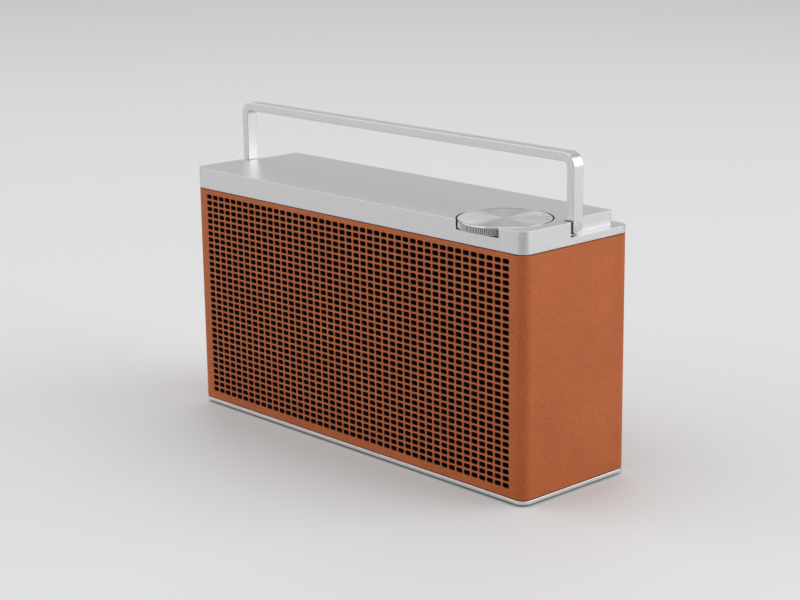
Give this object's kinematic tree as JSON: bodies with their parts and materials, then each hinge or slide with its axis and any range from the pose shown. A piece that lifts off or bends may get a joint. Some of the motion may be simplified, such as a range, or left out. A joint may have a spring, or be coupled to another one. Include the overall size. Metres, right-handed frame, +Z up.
{
  "type": "portable radio",
  "caption": "Portable radio with a perforated leather case, metal cover, sunk volume knob, fold-back carrying handle and telescopic antenna.",
  "frame": {"origin": "on the floor, under the middle of the case", "axes": "+X along the width, towards the volume knob; +Y from the perforated front to the back; +Z up"},
  "size_m": [0.29, 0.0982, 0.1944],
  "materials": {
    "leather": "grained vegetable-tanned leather, cognac brown",
    "cabinet_plastic": "moulded, fine texture",
    "grille_plastic": "moulded, matt",
    "speaker_cloth": "woven acoustic cloth",
    "baffle_board": "raw fibre board",
    "cover_aluminium": "fine brushed, anodised",
    "base_aluminium": "satin, anodised",
    "handle_metal": "satin, polished edges",
    "pin_metal": "turned",
    "knob_metal": "spun top, fluted rim",
    "screw_steel": "zinc plated",
    "foot_rubber": "matt",
    "black_plastic": "moulded",
    "brass": "machined",
    "driver_steel": "black paint",
    "driver_cone": "pressed paper",
    "battery_wrap": "shrink wrap",
    "circuit_board": "solder mask",
    "shield_metal": "tin plated",
    "sink_aluminium": "extruded",
    "antenna_chrome": "polished"
  },
  "bodies": {
    "cabinet": {"leather_wrap": "leather", "cabinet_shell": "cabinet_plastic", "grille_grid": "grille_plastic", "speaker_cloth": "speaker_cloth", "front_baffle": "baffle_board", "top_cover": "cover_aluminium", "cover_screws": "screw_steel", "base_plate": "base_aluminium", "base_screws": "screw_steel", "rubber_feet": "foot_rubber", "friction_washers": "foot_rubber", "volume_potentiometer": "black_plastic", "shaft_nut": "brass", "left_basket": "driver_steel", "left_cone": "driver_cone", "left_surround": "foot_rubber", "left_magnet": "driver_steel", "right_basket": "driver_steel", "right_cone": "driver_cone", "right_surround": "foot_rubber", "right_magnet": "driver_steel", "driver_gaskets": "foot_rubber", "driver_screws": "screw_steel", "battery_tray": "cabinet_plastic", "battery_cells": "battery_wrap", "main_board": "circuit_board", "board_screws": "screw_steel", "tuner_module": "shield_metal", "amplifier_chip": "black_plastic", "heat_sink": "sink_aluminium", "microphone": "shield_metal", "microphone_board": "circuit_board", "rear_panel": "black_plastic", "panel_screws": "screw_steel", "socket_board": "circuit_board", "power_socket": "black_plastic", "line_socket": "black_plastic", "usb_socket": "shield_metal", "antenna_bush": "brass"},
    "handle": {"handle_bar": "handle_metal", "pivot_pins": "pin_metal", "pin_clips": "screw_steel"},
    "knob": {"volume_knob": "knob_metal", "knob_shaft": "screw_steel"},
    "antenna_base": {"antenna_swivel": "antenna_chrome", "antenna_clip": "screw_steel", "antenna_rivet": "antenna_chrome"},
    "antenna_stage_1": {"antenna_tube_1": "antenna_chrome"},
    "antenna_stage_2": {"antenna_tube_2": "antenna_chrome"},
    "antenna_stage_3": {"antenna_tube_3": "antenna_chrome"},
    "antenna_stage_4": {"antenna_tube_4": "antenna_chrome"},
    "antenna_stage_5": {"antenna_rod": "antenna_chrome", "antenna_cap": "antenna_chrome"}
  },
  "joints": [
    {"name": "handle_fold", "type": "hinge", "parent": "cabinet", "child": "handle", "pos_m": [0, 0, 0.1524], "axis": [-1, 0, 0], "range_deg": [0, 90]},
    {"name": "knob_turn", "type": "hinge", "parent": "cabinet", "child": "knob", "pos_m": [0.1095, -0.0214, 0.1566], "axis": [0, 0, -1], "range_deg": [0, 300]},
    {"name": "antenna_turn", "type": "hinge", "parent": "cabinet", "child": "antenna_base", "pos_m": [-0.12, 0.0471, 0.1283], "axis": [0, -1, 0], "range_deg": [0, 180]},
    {"name": "antenna_tilt", "type": "hinge", "parent": "antenna_base", "child": "antenna_stage_1", "pos_m": [-0.12, 0.0471, 0.1283], "axis": [0, 0, 1], "range_deg": [0, 90]},
    {"name": "antenna_slide_2", "type": "slide", "parent": "antenna_stage_1", "child": "antenna_stage_2", "axis": [1, 0, 0], "range_m": [0, 0.12]},
    {"name": "antenna_slide_3", "type": "slide", "parent": "antenna_stage_2", "child": "antenna_stage_3", "axis": [1, 0, 0], "range_m": [0, 0.12]},
    {"name": "antenna_slide_4", "type": "slide", "parent": "antenna_stage_3", "child": "antenna_stage_4", "axis": [1, 0, 0], "range_m": [0, 0.12]},
    {"name": "antenna_slide_5", "type": "slide", "parent": "antenna_stage_4", "child": "antenna_stage_5", "axis": [1, 0, 0], "range_m": [0, 0.12]}
  ]
}
